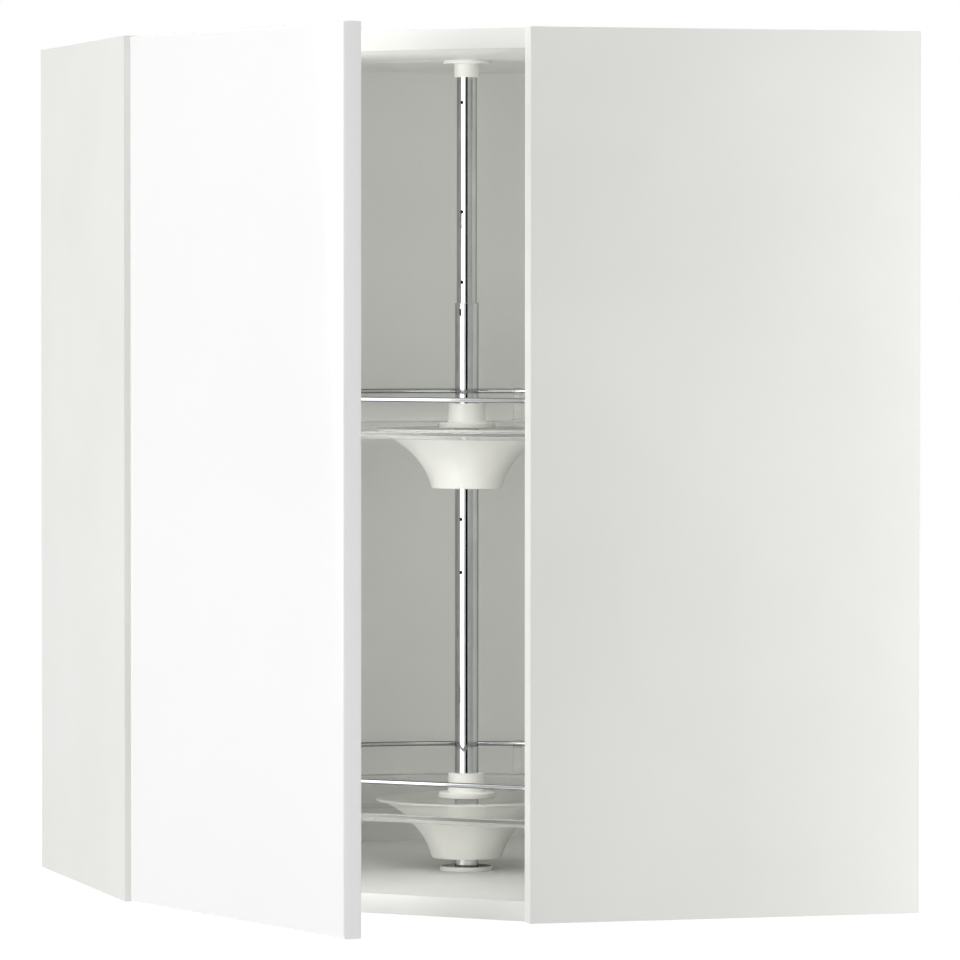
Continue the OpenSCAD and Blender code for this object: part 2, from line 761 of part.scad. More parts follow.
// An arm's two screws: the fixing screw at its tail and the adjusting screw near its nose
module at_arm_screws() for (z = hinge_z, x = [arm_len * 0.28, arm_len * 0.82])
    translate([arm_pin.x - x, arm_floor + arm_t, z]) rotate([-90, 0, 0]) children();

module hinge_arm(z) color(steel) difference() {
    union() {
        translate([arm_pin.x - arm_len, arm_floor, z - arm_h / 2])
            cube([arm_len - bar_w / 2 - arm_nose_gap, arm_t, arm_h]);
        translate([arm_pin.x, arm_pin.y, z]) rotate([0, 0, 180])
            translate([0, 0, -coupler_h / 2]) linear_extrude(coupler_h)
                link_outline(arm_len / 4, bar_w);
    }
    translate([arm_pin.x, arm_pin.y, z])
        cylinder(h = 2 * coupler_h, d = elbow_pin_d + 2 * fix_clear, center = true);
    at_arm_screws() screw(small_screw_d, arm_t - 1, small_head_d, small_head_h, fix_clear);
}

module hinge_arm_screws() color(steel) at_arm_screws()
    cut_screw(small_screw_d, arm_t - 1, small_head_d, small_head_h);

// ---------- Poles ----------

// A hole through the front of a pole, which faces the door
module pole_hole(z, d) front() translate([0, 0, z]) rotate([0, 90, 0]) cylinder(h = pole_d, d = d);

// A hole through both walls of a pole, in line with the door
module cross_hole(z, d) front() translate([0, 0, z]) rotate([0, 90, 0])
    cylinder(h = 2 * pole_d, d = d, center = true);

// The slots are cut across the pole, and their two ends are round
module pole_slots() {
    cross_hole(slot_top - slot_w / 2, slot_w);
    cross_hole(slot_foot + slot_w / 2, slot_w);
    front() translate([-pole_d, -slot_w / 2, slot_foot + slot_w / 2])
        cube([2 * pole_d, slot_w, slot_top - slot_foot - slot_w]);
}

function tray_pin_z(level) = level - cone_h + tray_pin_rise;

module lower_pole() color(chrome) difference() {
    translate([0, 0, pole_foot]) cylinder(h = pole_top - pole_foot, r = pole_r);
    translate([0, 0, pole_foot - 1]) cylinder(h = spring_foot - ledge_h - pole_foot + 1, r = pole_bore_r);
    translate([0, 0, spring_foot]) cylinder(h = pole_top - spring_foot + 1, r = pole_bore_r);
    translate([0, 0, spring_foot - ledge_h - 1])
        cylinder(h = ledge_h + 2, r = pole_bore_r - ledge_w);
    for (z = lower_holes) pole_hole(z, spare_hole_d);
    for (level = tray_levels) cross_hole(tray_pin_z(level), tray_pin_d + 2 * fix_clear);
    pole_slots();
}

module upper_pole() color(chrome) difference() {
    translate([0, 0, upper_foot]) cylinder(h = upper_top - upper_foot, r = upper_r);
    translate([0, 0, upper_foot - 1]) cylinder(h = upper_top - upper_foot + 2, r = upper_bore_r);
    for (z = upper_holes) pole_hole(z, spare_hole_d);
    cross_hole(pole_pin_z, pole_pin_d + 2 * fix_clear);
}

module pole_pin() color(steel) front() translate([0, 0, pole_pin_z]) rotate([0, 90, 0])
    cylinder(h = pole_d - 2 * pole_pin_recess, d = pole_pin_d, center = true);

// The spring is one unbroken helix of wire, swept as rings of points
module pole_spring() {
    wire = spring_wire_d / 2;
    rise = spring_len - 2 * wire - 2 * fix_clear;
    count = spring_turns * spring_steps;
    points = [for (i = [0:count], k = [0:spring_sides - 1])
        let (a = i * 360 / spring_steps, b = k * 360 / spring_sides)
        [(spring_r + wire * cos(b)) * cos(a), (spring_r + wire * cos(b)) * sin(a),
            wire * sin(b) + rise * i / count]];
    sides = [for (i = [0:count - 1], k = [0:spring_sides - 1])
        let (a = i * spring_sides + k, b = i * spring_sides + (k + 1) % spring_sides)
        each [[a, b, a + spring_sides], [b, b + spring_sides, a + spring_sides]]];
    ends = [[for (k = [spring_sides - 1:-1:0]) k],
        [for (k = [0:spring_sides - 1]) count * spring_sides + k]];
    color(steel) translate([0, 0, spring_foot + wire + fix_clear])
        polyhedron(points = points, faces = concat(sides, ends), convexity = 10);
}

// ---------- Trays ----------

// A circle with a straight front, its two corners rounded, in front coordinates
module tray_outline(r, p, c) {
    m = arc_centre(r, p, c);
    out = m * (r + c) / (r - c);
    difference() {
        intersection() {
            circle(r = r);
            translate([-2 * r, -r]) square([2 * r + p, 2 * r]);
        }
        for (s = [-1, 1])
            polygon([[m.x, s * m.y], [p + c, s * m.y], [p + c, s * r], [out.x, s * out.y]]);
    }
    for (s = [-1, 1]) translate([m.x, s * m.y]) circle(r = c);
}

module tray(level) color(clear_plastic) front() translate([0, 0, level]) difference() {
    translate([0, 0, -lip_drop]) linear_extrude(lip_drop + floor_top + lip_rise)
        tray_outline(tray_r, tray_p, tray_corner_r);
    translate([0, 0, floor_top]) linear_extrude(lip_rise + 1)
        tray_outline(tray_r - lip_t, tray_p - lip_t, tray_corner_r - lip_t);
    translate([0, 0, -lip_drop - 1]) linear_extrude(lip_drop + 1)
        tray_outline(tray_r - lip_t, tray_p - lip_t, tray_corner_r - lip_t);
    translate([0, 0, -1]) cylinder(h = floor_top + 2, d = skirt_d + 2 * fix_clear);
}

// The rail is a long arc, two tight bends and a straight front, joined in small weld beads
module rail(level) {
    m = arc_centre(rail_r, rail_p, rail_corner_r);
    bend = atan2(m.y, m.x);
    color(chrome) front() translate([0, 0, level + rail_z]) {
        rotate([0, 0, bend]) rotate_extrude(angle = 360 - 2 * bend)
            translate([rail_r, 0]) circle(d = rail_d);
        for (s = [0, 1]) translate([m.x, (2 * s - 1) * m.y, 0]) rotate([0, 0, (s - 1) * bend])
            rotate_extrude(angle = bend) translate([rail_corner_r, 0]) circle(d = rail_d);
        translate([rail_p, -m.y, 0]) rotate([-90, 0, 0]) cylinder(h = 2 * m.y, d = rail_d);
        for (s = [-1, 1]) {
            translate([rail_p, s * m.y, 0]) sphere(d = rail_bead_d);
            rotate([0, 0, s * bend]) translate([rail_r, 0, 0]) sphere(d = rail_bead_d);
        }
    }
}

// A post stands on the tray's floor and holds the rail in the clip at its top
module post() difference() {
    union() {
        translate([-post_foot_t / 2, -post_foot_w / 2, 0])
            cube([post_foot_t, post_foot_w, post_foot_h]);
        translate([-post_t / 2, -post_w / 2, 0]) cube([post_t, post_w, rail_rise]);
        translate([rail_r - post_r, 0, rail_rise]) rotate([90, 0, 0])
            cylinder(h = post_w, d = clip_d, center = true);
    }
    translate([-post_r, 0, rail_rise]) rotate_extrude() translate([rail_r, 0])
        circle(d = rail_d + 2 * fix_clear);
}

module rail_posts(level) color(clear_plastic) front() for (i = [0:post_count - 1])
    rotate([0, 0, 180 + (i - (post_count - 1) / 2) * post_step])
        translate([post_r, 0, level + floor_top]) post();

// ---------- Hubs ----------

module hub(level) color(white_plastic) translate([0, 0, level + floor_top]) difference() {
    union() {
        cylinder(h = hub_flange_t, d = hub_flange_d);
        translate([0, 0, hub_flange_t])
            cylinder(h = hub_h - hub_flange_t, d1 = hub_foot_d, d2 = hub_top_d);
        translate([0, 0, -floor_top - skirt_drop]) cylinder(h = floor_top + skirt_drop, d = skirt_d);
    }
    translate([0, 0, -1]) cylinder(h = hub_h + 2, r = pole_r + fix_clear);
    translate([0, 0, -floor_top - skirt_drop - 1])
        cylinder(h = floor_top + skirt_drop + 1, r = core_r + fix_clear);
}

// Side of a cone from its foot to its rim, as [radius, height]
function cone_side() = let (
        foot = [cone_foot_d / 2, 0],
        rim = [cone_rim_d / 2, cone_h],
        span = rim - foot,
        a = foot + [cone_bend[0].x * span.x, cone_bend[0].y * span.y],
        b = foot + [cone_bend[1].x * span.x, cone_bend[1].y * span.y])
    [for (i = [0:cone_steps]) curve(foot, a, b, rim, i / cone_steps)];

module cone(level) {
    side = cone_side();
    inside = [for (v = side) v + [-cone_wall, cone_wall]];
    core_top = cone_h - skirt_drop + skirt_lap;
    color(white_plastic) translate([0, 0, level - cone_h]) difference() {
        union() {
            rotate_extrude() intersection() {
                polygon(concat(side, [for (i = [cone_steps:-1:0]) inside[i]]));
                square([cone_rim_d, cone_h]);
            }
            cylinder(h = cone_wall, d = cone_foot_d);
            cylinder(h = core_top, r = core_r);
        }
        translate([0, 0, -1]) cylinder(h = core_top + 2, r = pole_r + fix_clear);
        translate([0, 0, cone_h - level]) cross_hole(tray_pin_z(level), tray_pin_d + 2 * fix_clear);
    }
}

module tray_pins() color(steel) for (level = tray_levels) front()
    translate([0, 0, tray_pin_z(level)]) rotate([0, 90, 0])
        cylinder(h = core_d - 2, d = tray_pin_d, center = true);

side_panel_left();
side_panel_right();
top_panel();
bottom_panel();
back_panel_left();
back_panel_right();
corner_batten();
cam_locks();
cam_bolts();
dowels();
back_nails();
hanging_bracket_left();
hanging_bracket_right();
bracket_screws();
hinge_plate(hinge_z[0]);  // hinge_plate_lower
hinge_plate(hinge_z[1]);  // hinge_plate_upper
hinge_arm(hinge_z[0]);  // hinge_arm_lower
hinge_arm(hinge_z[1]);  // hinge_arm_upper
hinge_plate_screws();
hinge_arm_screws();
arm_pins();
ceiling_bearing();
floor_bearing();
bearing_screws();
door_panel();
hinge_cup(hinge_z[0]);  // hinge_cup_lower
hinge_cup(hinge_z[1]);  // hinge_cup_upper
hinge_cup_screws();
cup_pins();
door_bumpers();
hinge_bar(hinge_z[0]);  // hinge_bar_lower
hinge_bar(hinge_z[1]);  // hinge_bar_upper
elbow_pins();
hinge_coupler(hinge_z[0]);  // hinge_coupler_lower
hinge_coupler(hinge_z[1]);  // hinge_coupler_upper
lower_pole();
pole_spring();
upper_pole();
pole_pin();
tray(tray_levels[0]);  // lower_tray
tray(tray_levels[1]);  // upper_tray
rail(tray_levels[0]);  // lower_rail
rail(tray_levels[1]);  // upper_rail
rail_posts(tray_levels[0]);  // lower_rail_posts
rail_posts(tray_levels[1]);  // upper_rail_posts
hub(tray_levels[0]);  // lower_hub
hub(tray_levels[1]);  // upper_hub
cone(tray_levels[0]);  // lower_cone
cone(tray_levels[1]);  // upper_cone
tray_pins();
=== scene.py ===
"""Corner wall cabinet with a carousel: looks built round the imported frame. Metres, in the frame's own axes."""

import json
import math

import bmesh
import bpy
from mathutils import Matrix, Vector


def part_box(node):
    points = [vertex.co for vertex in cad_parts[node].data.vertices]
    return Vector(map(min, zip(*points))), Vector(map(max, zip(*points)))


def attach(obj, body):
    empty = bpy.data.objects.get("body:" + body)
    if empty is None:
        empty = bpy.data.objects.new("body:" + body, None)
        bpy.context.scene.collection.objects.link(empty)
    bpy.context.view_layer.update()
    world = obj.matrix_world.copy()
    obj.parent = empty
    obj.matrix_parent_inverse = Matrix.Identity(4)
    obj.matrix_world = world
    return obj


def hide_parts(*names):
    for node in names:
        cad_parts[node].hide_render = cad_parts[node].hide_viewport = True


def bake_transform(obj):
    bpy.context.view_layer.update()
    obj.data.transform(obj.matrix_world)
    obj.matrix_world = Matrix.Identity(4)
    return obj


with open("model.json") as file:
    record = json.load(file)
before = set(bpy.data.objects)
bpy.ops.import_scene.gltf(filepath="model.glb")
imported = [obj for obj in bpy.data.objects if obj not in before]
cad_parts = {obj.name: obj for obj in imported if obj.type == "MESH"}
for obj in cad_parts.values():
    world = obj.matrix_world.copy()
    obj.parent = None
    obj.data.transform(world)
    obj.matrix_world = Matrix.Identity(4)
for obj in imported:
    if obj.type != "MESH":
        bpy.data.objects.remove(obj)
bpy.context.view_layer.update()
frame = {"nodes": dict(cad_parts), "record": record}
nodes = frame["nodes"]
MM = 0.001

# Sizes that the scene's own pieces share with the frame
LEVELS = {"lower": 0.0845, "upper": 0.4335}
INNER = 0.321
SIDE_FRONT = -0.037
FRONT_SETBACK = 0.00425
DOOR_SEAT_GAP = 0.0021
DOOR_SIDE_GAP = 0.0023
DOOR_P = (INNER - SIDE_FRONT) / math.sqrt(2) - FRONT_SETBACK + DOOR_SEAT_GAP
DOOR_HALF = (INNER + SIDE_FRONT) / math.sqrt(2) - DOOR_SIDE_GAP
DOOR_T = 0.018
DOOR_Z = (0.0015, 0.7985)
DOOR_EDGE_R = 0.003
DOOR_OPEN = math.radians(30)
PIVOT_AHEAD = 0.0045
PIVOT_ASIDE = 0.021
PIVOT = Vector((DOOR_P + DOOR_T + PIVOT_AHEAD, -DOOR_HALF - PIVOT_ASIDE, 0))
HINGE_Z = (0.165, 0.635)
CUP_R = 0.0175
CUP_EDGE = 0.0225
POLE_R, POLE_BORE_R = 0.0111, 0.0095
UPPER_R, UPPER_BORE_R = 0.00945, 0.00825
POLE_TRAVEL = 0.006
SLOT_DROP = 0.0024
SLOT_W = 0.0039
PIN_R = 0.00165
PIN_PLAY = 0.00015
SPARE_HOLE_D = 0.0034
TRAY_R = 0.290
TRAY_DOOR_GAP = 0.028
TRAY_CORNER_R = 0.015
TRAY = (TRAY_R, DOOR_P - TRAY_DOOR_GAP, TRAY_CORNER_R)
FLOOR_T = 0.0022
LIP_T = 0.002
RAIL_INSET = 0.003
RAIL_RISE = 0.0327
POST_COUNT = 8
POST_STEP = 38  # degrees
POST_FOOT_HALF = 0.0025
PASS_CLEAR = 0.0003

# The middle of the cabinet, which the lamps outside it are turned to
MIDDLE = Vector((0, 0, 0.4))

# The front is set out with X out of the cabinet and Y along the door
FRONT = Matrix.Rotation(math.radians(-45), 4, "Z")
ON_DOOR = FRONT @ Matrix.Translation(PIVOT) @ Matrix.Rotation(-DOOR_OPEN, 4, "Z") @ Matrix.Translation(-PIVOT)
Z_TO_X = Matrix.Rotation(math.radians(90), 4, "Y")


# ---------- Materials ----------

PLASTIC_IOR = 1.49


def srgb(*v):
    """An sRGB colour, 0 to 255, as linear RGBA."""
    lin = [c / 255 / 12.92 if c <= 10.3 else ((c / 255 + 0.055) / 1.055) ** 2.4 for c in v]
    return (*lin, 1.0)


class Shader:
    """A node material, with short ways to add the nodes that the finishes use."""

    def __init__(self, name, **sockets):
        self.mat = bpy.data.materials.new(name)
        self.mat.use_nodes = True
        self.tree = self.mat.node_tree
        self.bsdf = self.tree.nodes["Principled BSDF"]
        for key, value in sockets.items():
            self.bsdf.inputs[key.replace("_", " ")].default_value = value
        self.coords = self.add("ShaderNodeTexCoord").outputs["Object"]

    def add(self, kind, **props):
        n = self.tree.nodes.new(kind)
        for key, value in props.items():
            setattr(n, key, value)
        return n

    def link(self, a, b):
        self.tree.links.new(a, b)

    def scaled(self, scale):
        m = self.add("ShaderNodeMapping")
        m.inputs["Scale"].default_value = scale
        self.link(self.coords, m.inputs["Vector"])
        return m.outputs["Vector"]

    def noise(self, scale, detail=2.0, stretch=(1, 1, 1), rough=0.5):
        n = self.add("ShaderNodeTexNoise")
        n.inputs["Scale"].default_value = scale
        n.inputs["Detail"].default_value = detail
        n.inputs["Roughness"].default_value = rough
        self.link(self.scaled(stretch), n.inputs["Vector"])
        return n.outputs["Fac"]

    def ramp(self, fac, low, high, start=0.35, end=0.65):
        """fac from start to end becomes low to high, either numbers or colours."""
        if isinstance(low, tuple):
            r = self.add("ShaderNodeValToRGB")
            r.color_ramp.elements[0].position, r.color_ramp.elements[1].position = start, end
            r.color_ramp.elements[0].color, r.color_ramp.elements[1].color = low, high
            self.link(fac, r.inputs["Fac"])
            return r.outputs["Color"]
        r = self.add("ShaderNodeMapRange")
        r.inputs["From Min"].default_value, r.inputs["From Max"].default_value = start, end
        r.inputs["To Min"].default_value, r.inputs["To Max"].default_value = low, high
        self.link(fac, r.inputs["Value"])
        return r.outputs["Result"]

    def colour(self, fac, low, high, **kw):
        self.link(self.ramp(fac, low, high, **kw), self.bsdf.inputs["Base Color"])

    def roughness(self, fac, low, high, **kw):
        self.link(self.ramp(fac, low, high, **kw), self.bsdf.inputs["Roughness"])

    def bump(self, *layers):
        """Each layer is (height, strength, distance in metres)."""
        normal = None
        for height, strength, distance in layers:
            b = self.add("ShaderNodeBump")
            b.inputs["Strength"].default_value = strength
            b.inputs["Distance"].default_value = distance
            self.link(height, b.inputs["Height"])
            if normal:
                self.link(normal, b.inputs["Normal"])
            normal = b.outputs["Normal"]
        self.link(normal, self.bsdf.inputs["Normal"])


def foil_material():
    """White melamine foil: a fine pebble, a satin sheen that wanders a little."""
    s = Shader("white_foil", Specular_IOR_Level=0.45)
    s.colour(s.noise(5, 3), srgb(236, 236, 232), srgb(240, 240, 237))
    s.roughness(s.noise(9, 4), 0.36, 0.44)
    s.bump((s.noise(1600, 3), 0.12, 0.00006), (s.noise(45, 2), 0.04, 0.0002))
    return s.mat


def gloss_material():
    """High-gloss foil on fibreboard: mirror-like, with a very faint waviness."""
    s = Shader("gloss_foil", Specular_IOR_Level=0.5, Coat_Weight=1.0, Coat_Roughness=0.02, Coat_IOR=1.5)
    s.colour(s.noise(3, 2), srgb(247, 248, 247), srgb(250, 250, 250))
    s.roughness(s.noise(14, 4), 0.05, 0.09)
    s.bump((s.noise(55, 1), 0.06, 0.00025), (s.noise(6, 1), 0.05, 0.001))
    return s.mat


def hardboard_material():
    """The bare outer side of the back panels: pressed fibres."""
    s = Shader("bare_fibreboard", Specular_IOR_Level=0.25)
    s.colour(s.noise(260, 8, (1, 1, 1), 0.7), srgb(140, 108, 78), srgb(176, 143, 108), start=0.3, end=0.7)
    s.roughness(s.noise(120, 5), 0.72, 0.9)
    s.bump((s.noise(700, 6, (1, 1, 1), 0.7), 0.4, 0.0001))
    return s.mat


def beech_material():
    """The dowels: beech, its grain along the dowel."""
    s = Shader("beech")
    s.colour(s.noise(60, 6, (1, 1, 8)), srgb(186, 146, 100), srgb(216, 180, 134))
    s.roughness(s.noise(90, 4), 0.5, 0.65)
    s.bump((s.noise(240, 5, (1, 1, 6)), 0.3, 0.0001))
    return s.mat


def white_plastic_material():
    """Injection-moulded white plastic, satin, faintly warm."""
    s = Shader("white_plastic", Specular_IOR_Level=0.45)
    s.colour(s.noise(22, 3), srgb(237, 237, 231), srgb(242, 242, 237))
    s.roughness(s.noise(60, 4), 0.3, 0.38)
    s.bump((s.noise(1400, 3), 0.08, 0.00005), (s.noise(70, 2), 0.04, 0.0002))
    return s.mat


def let_light_through(s, surface, share):
    """Mixes the surface with a clear one, by share, so that lamps light what is behind it."""
    clear = s.add("ShaderNodeBsdfTransparent")
    clear.inputs["Color"].default_value = srgb(251, 251, 250)
    mix = s.add("ShaderNodeMixShader")
    s.link(share, mix.inputs["Fac"])
    s.link(surface, mix.inputs[1])
    s.link(clear.outputs["BSDF"], mix.inputs[2])
    s.link(mix.outputs["Shader"], s.tree.nodes["Material Output"].inputs["Surface"])


def clear_plastic_material():
    """Clear polystyrene: it bends what shows through it, mirrors most where it turns away, and lets lamps through."""
    mirror_least, mirror_most, all_inside = 0.04, 0.22, 0.99
    s = Shader("clear_plastic")
    s.tree.nodes.remove(s.bsdf)
    bent = s.add("ShaderNodeBsdfRefraction")
    bent.inputs["IOR"].default_value = PLASTIC_IOR
    s.link(s.ramp(s.noise(12, 2), srgb(253, 254, 253), srgb(255, 255, 255)), bent.inputs["Color"])
    s.link(s.ramp(s.noise(35, 3), 0.0, 0.01), bent.inputs["Roughness"])
    shine = s.add("ShaderNodeBsdfGlossy")
    s.link(s.ramp(s.noise(35, 3), 0.01, 0.04), shine.inputs["Roughness"])
    turned = s.add("ShaderNodeFresnel")
    turned.inputs["IOR"].default_value = PLASTIC_IOR
    lit = s.add("ShaderNodeMixShader")
    # From inside, the surface mirrors only where it reflects everything
    inside = s.add("ShaderNodeMath", operation="GREATER_THAN")
    inside.inputs[1].default_value = all_inside
    s.link(turned.outputs["Fac"], inside.inputs[0])
    share = s.add("ShaderNodeMix")
    s.link(s.add("ShaderNodeNewGeometry").outputs["Backfacing"], share.inputs["Factor"])
    outside = s.ramp(turned.outputs["Fac"], mirror_least, mirror_most, start=0.04, end=0.8)
    s.link(outside, share.inputs["A"])
    s.link(inside.outputs["Value"], share.inputs["B"])
    s.link(share.outputs["Result"], lit.inputs["Fac"])
    s.link(bent.outputs["BSDF"], lit.inputs[1])
    s.link(shine.outputs["BSDF"], lit.inputs[2])
    shadow = s.add("ShaderNodeLightPath").outputs["Is Shadow Ray"]
    let_light_through(s, lit.outputs["Shader"], shadow)
    return s.mat


def clear_edge_material():
    """The trays' lips and the posts: the same plastic, too thin to bend much of what shows through it."""
    unbent = 0.5
    s = Shader("clear_edge", Transmission_Weight=0.92, IOR=PLASTIC_IOR)
    s.colour(s.noise(12, 2), srgb(250, 251, 250), srgb(254, 254, 254))
    s.roughness(s.noise(35, 3), 0.02, 0.06)
    share = s.add("ShaderNodeMath", operation="MAXIMUM")
    share.inputs[1].default_value = unbent
    s.link(s.add("ShaderNodeLightPath").outputs["Is Shadow Ray"], share.inputs[0])
    let_light_through(s, s.bsdf.outputs["BSDF"], share.outputs["Value"])
    return s.mat


def lit_edge_material():
    """The outer edge of a tray's floor, in a milky colour that is painted light: it stands for the light that its
    floor carries there.
    """
    s = Shader("lit_edge", Transmission_Weight=0.6, IOR=PLASTIC_IOR)
    s.colour(s.noise(12, 2), srgb(200, 203, 199), srgb(208, 210, 206))
    s.roughness(s.noise(35, 3), 0.15, 0.25)
    s.bump((s.noise(90, 2), 0.03, 0.0002))
    return s.mat


def metal_material(name, low, high, rough, bump=0.05, scale=300):
    """A plain plating, from low to high in colour and rough in its roughness."""
    s = Shader(name, Metallic=1.0)
    s.colour(s.noise(25, 3), low, high)
    s.roughness(s.noise(scale, 5), *rough)
    s.bump((s.noise(scale * 2, 4), bump, 0.00005))
    return s.mat


def chrome_material(name, start, end, rim):
    """Bright chrome over nickel, with painted shade round its outline: its colour darkens as it turns away, from
    start to end, where rim of it is left, standing for the dark reflections at the edges of the poles and wires.
    """
    s = Shader(name, Metallic=1.0)
    facing = s.add("ShaderNodeLayerWeight")
    facing.inputs["Blend"].default_value = 0.5
    mix = s.add("ShaderNodeMix", data_type="RGBA", blend_type="MULTIPLY")
    mix.inputs["Factor"].default_value = 1.0
    s.link(s.ramp(s.noise(25, 3), srgb(220, 222, 224), srgb(228, 230, 232)), mix.inputs["A"])
    # Painted shade: the colour darkens towards the outline, for the dark reflections at the edges of the poles and
    # wires.
    painted_edge_shade = s.ramp(facing.outputs["Facing"], (1, 1, 1, 1), (rim, rim, rim, 1), start=start, end=end)
    s.link(painted_edge_shade, mix.inputs["B"])
    s.link(mix.outputs["Result"], s.bsdf.inputs["Base Color"])
    s.roughness(s.noise(500, 5, (1, 1, 0.05)), 0.03, 0.05)
    return s.mat


def rubber_material():
    """The door's bumpers: clear soft gel."""
    s = Shader("bumper_gel", Transmission_Weight=0.6, IOR=1.45)
    s.colour(s.noise(80, 2), srgb(214, 218, 216), srgb(228, 231, 229))
    s.roughness(s.noise(200, 3), 0.3, 0.42)
    s.bump((s.noise(500, 3), 0.1, 0.0001))
    return s.mat


MATS = {
    "foil_board": foil_material(),
    "backing_board": foil_material(),
    "gloss_door": gloss_material(),
    "beech": beech_material(),
    "plated_fasteners": metal_material("zinc_plate", srgb(186, 188, 190), srgb(206, 207, 208), (0.28, 0.4)),
    "galvanised_steel": metal_material("galvanised", srgb(168, 172, 175), srgb(200, 203, 205), (0.35, 0.55), 0.1, 90),
    "nickel_plated_steel": metal_material("nickel_plate", srgb(196, 194, 190), srgb(212, 210, 206), (0.2, 0.3)),
    "white_plastic": white_plastic_material(),
    "bumper_rubber": rubber_material(),
    "chrome_tube": chrome_material("chrome_tube", 0.4, 0.8, 0.35),
    "clear_plastic": clear_plastic_material(),
    # Finishes of parts of a piece, which have no slot of their own
    "hardboard": hardboard_material(),
    "chrome_wire": chrome_material("chrome_wire", 0.11, 0.3, 0.26),
    "bare_bore": metal_material("bare_steel", srgb(92, 90, 87), srgb(116, 114, 110), (0.5, 0.65)),
    "clear_edge": clear_edge_material(),
    "lit_edge": lit_edge_material(),
}


# ---------- Meshes ----------


def add_finishes(mesh, *names):
    for name in names:
        mesh.materials.append(MATS[name])


def piece(name, bm, slot, body, *replaced, angle=35, finishes=()):
    """Turns bm into a named object that rides on body, if one is given, and stands for the replaced CAD nodes."""
    bmesh.ops.recalc_face_normals(bm, faces=bm.faces)
    me = bpy.data.meshes.new(name)
    bm.to_mesh(me)
    bm.free()
    me.shade_smooth()
    me.set_sharp_from_angle(angle=math.radians(angle))
    add_finishes(me, *(finishes or (slot,)))
    obj = bpy.data.objects.new(name, me)
    bpy.context.scene.collection.objects.link(obj)
    if body:
        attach(obj, body)
    if replaced:
        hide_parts(*replaced)
    return obj


def bevel(obj, width, segments=2, angle=40):
    mod = obj.modifiers.new("edges", "BEVEL")
    mod.width = width
    mod.segments = segments
    mod.limit_method = "ANGLE"
    mod.angle_limit = math.radians(angle)
    mod.use_clamp_overlap = True
    mod.harden_normals = True


def ring_verts(bm, points, z):
    return [bm.verts.new((x, y, z)) for x, y in points]


def bridge(bm, rings, closed=True):
    """Joins each ring to the next, and the last one to the first if closed."""
    n = len(rings[0])
    for a, b in list(zip(rings, rings[1:])) + ([(rings[-1], rings[0])] if closed else []):
        for i in range(n):
            j = (i + 1) % n
            bm.faces.new((a[i], a[j], b[j], b[i]))


def prism(bm, outline, z0, z1, matrix=None):
    """Extrudes an anticlockwise outline from z0 to z1."""
    low, high = ring_verts(bm, outline, z0), ring_verts(bm, outline, z1)
    bm.faces.new(low[::-1])
    bm.faces.new(high)
    bridge(bm, (low, high), False)
    if matrix:
        bmesh.ops.transform(bm, matrix=matrix, verts=low + high)


def lathe(bm, profile, segments):
    """Turns a closed outline of (radius, height) points about Z."""
    angles = [2 * math.pi * i / segments for i in range(segments)]
    rings = [ring_verts(bm, [(r * math.cos(a), r * math.sin(a)) for a in angles], z) for r, z in profile]
    bridge(bm, rings)


def arc(cx, cz, r, start, end, steps=6):
    """Points on a circle, angles in degrees."""
    angles = [math.radians(start + (end - start) * i / steps) for i in range(steps + 1)]
    return [(cx + r * math.cos(a), cz + r * math.sin(a)) for a in angles]


def tray_loop(r, p, c, around=220, bend=16, front=40):
    """Points and outward normals of a circle of radius r with a straight front at X = p and corners of radius c.

    They run anticlockwise, with X out of the cabinet.
    """
    mx = p - c
    my = math.sqrt((r - c) ** 2 - mx**2)
    b = math.atan2(my, mx)
    out = [((p, my * (2 * i / front - 1)), (1, 0)) for i in range(front)]
    for i in range(bend):
        a = b * i / bend
        out.append(((mx + c * math.cos(a), my + c * math.sin(a)), (math.cos(a), math.sin(a))))
    for i in range(around):
        a = b + (2 * math.pi - 2 * b) * i / around
        out.append(((r * math.cos(a), r * math.sin(a)), (math.cos(a), math.sin(a))))
    for i in range(bend):
        a = b * (i / bend - 1)
        out.append(((mx + c * math.cos(a), -my + c * math.sin(a)), (math.cos(a), math.sin(a))))
    return out


def baked(obj):
    """Applies obj's modifiers to its mesh."""
    bpy.context.view_layer.update()
    made = bpy.data.meshes.new_from_object(obj.evaluated_get(bpy.context.evaluated_depsgraph_get()))
    obj.modifiers.clear()
    old, obj.data = obj.data, made
    bpy.data.meshes.remove(old)


def cut(obj, bm):
    """Takes the closed shapes in bm out of obj."""
    me = bpy.data.meshes.new("cutter")
    bmesh.ops.recalc_face_normals(bm, faces=bm.faces)
    bm.to_mesh(me)
    bm.free()
    cutter = bpy.data.objects.new("cutter", me)
    bpy.context.scene.collection.objects.link(cutter)
    mod = obj.modifiers.new("cut", "BOOLEAN")
    mod.object = cutter
    mod.solver = "EXACT"
    baked(obj)
    bpy.data.objects.remove(cutter)
    bpy.data.meshes.remove(me)
    obj.data.set_sharp_from_angle(angle=math.radians(35))


def rod(bm, length, radius, matrix, segments=32):
    """A closed cylinder along Z, centred on the matrix's origin."""
    size = {"radius1": radius, "radius2": radius, "depth": length}
    bmesh.ops.create_cone(bm, cap_ends=True, segments=segments, matrix=matrix, **size)


# ---------- Carried-over nodes ----------


def soften(name, edge, segments=2):
    """Rounds a CAD node's edges, once its flat faces are whole."""
    obj = nodes[name]
    weld = obj.modifiers.new("weld", "WELD")
    weld.merge_threshold = 0.000002
    flat = obj.modifiers.new("flat", "DECIMATE")
    flat.decimate_type = "DISSOLVE"
    flat.angle_limit = math.radians(0.5)
    bevel(obj, edge, segments)


def refinish(mesh, *names):
    """Gives the mesh these finishes alone, with all its faces in the first one."""
    mesh.materials.clear()
    add_finishes(mesh, *names)


for subpart in frame["record"]["subparts"]:
    refinish(nodes[subpart["node"]].data, subpart["material_slot"])

